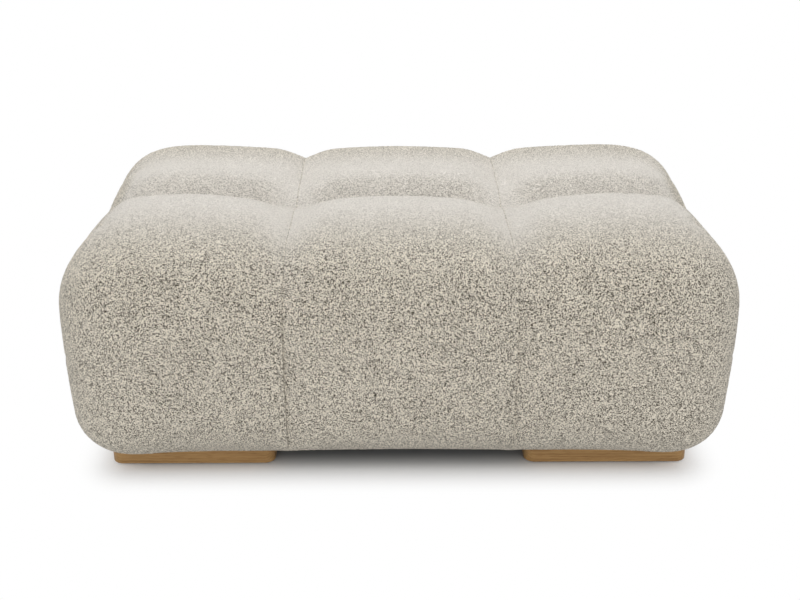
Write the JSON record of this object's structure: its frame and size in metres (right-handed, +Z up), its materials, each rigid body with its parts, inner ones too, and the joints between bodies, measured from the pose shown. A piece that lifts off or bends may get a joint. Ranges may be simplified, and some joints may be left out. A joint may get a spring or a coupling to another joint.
{
  "type": "ottoman coffee table",
  "caption": "Long rectangular ottoman with a puffed, deep-seamed boucle top and sides over a foam-padded wooden box, standing on low oak plinth feet.",
  "frame": {"origin": "on the floor, under the middle of the ottoman", "axes": "+X along the length, -Y towards the front, +Z up"},
  "size_m": [1.1, 0.735, 0.406],
  "materials": {
    "boucle": "curly cream-grey boucle",
    "foam": "open-cell upholstery foam",
    "felt": "dark felt",
    "steel": "zinc-plated",
    "plywood": "birch plywood, unfinished",
    "oak": "oiled oak, satin",
    "hardboard": "hardboard, unfinished",
    "pine": "planed pine, unfinished",
    "webbing": "woven elastic webbing",
    "lining": "spun-bond polypropylene cloth",
    "twine": "waxed nylon twine",
    "dust_cloth": "black spun-bond cloth"
  },
  "bodies": {
    "root": {"bottom_cross_rail_left": "pine", "bottom_cross_rail_right": "pine", "bottom_rail_back": "pine", "bottom_rail_front": "pine", "bottom_rail_left": "pine", "bottom_rail_right": "pine", "corner_post_back_left": "pine", "corner_post_back_right": "pine", "corner_post_front_left": "pine", "corner_post_front_right": "pine", "cover_back_left": "boucle", "cover_back_middle": "boucle", "cover_back_right": "boucle", "cover_front_left": "boucle", "cover_front_middle": "boucle", "cover_front_right": "boucle", "deck_cloth": "lining", "dust_cover": "dust_cloth", "dust_cover_staples": "steel", "foam_back_left": "foam", "foam_back_middle": "foam", "foam_back_right": "foam", "foam_front_left": "foam", "foam_front_middle": "foam", "foam_front_right": "foam", "foot_back_left": "oak", "foot_back_right": "oak", "foot_front_left": "oak", "foot_front_right": "oak", "foot_pad_back_left": "felt", "foot_pad_back_right": "felt", "foot_pad_front_left": "felt", "foot_pad_front_right": "felt", "foot_plates": "plywood", "foot_screws": "steel", "frame_screws": "steel", "middle_post_back_left": "pine", "middle_post_back_right": "pine", "middle_post_front_left": "pine", "middle_post_front_right": "pine", "seam_strips_left": "lining", "seam_strips_long": "lining", "seam_strips_right": "lining", "side_panel_back": "hardboard", "side_panel_front": "hardboard", "side_panel_left": "hardboard", "side_panel_right": "hardboard", "tie_washers": "steel", "top_cross_rail_left": "pine", "top_cross_rail_right": "pine", "top_rail_back": "pine", "top_rail_front": "pine", "top_rail_left": "pine", "top_rail_right": "pine", "tuft_tie_left": "twine", "tuft_tie_right": "twine", "webbing_cross": "webbing", "webbing_long": "webbing"}
  },
  "joints": []
}
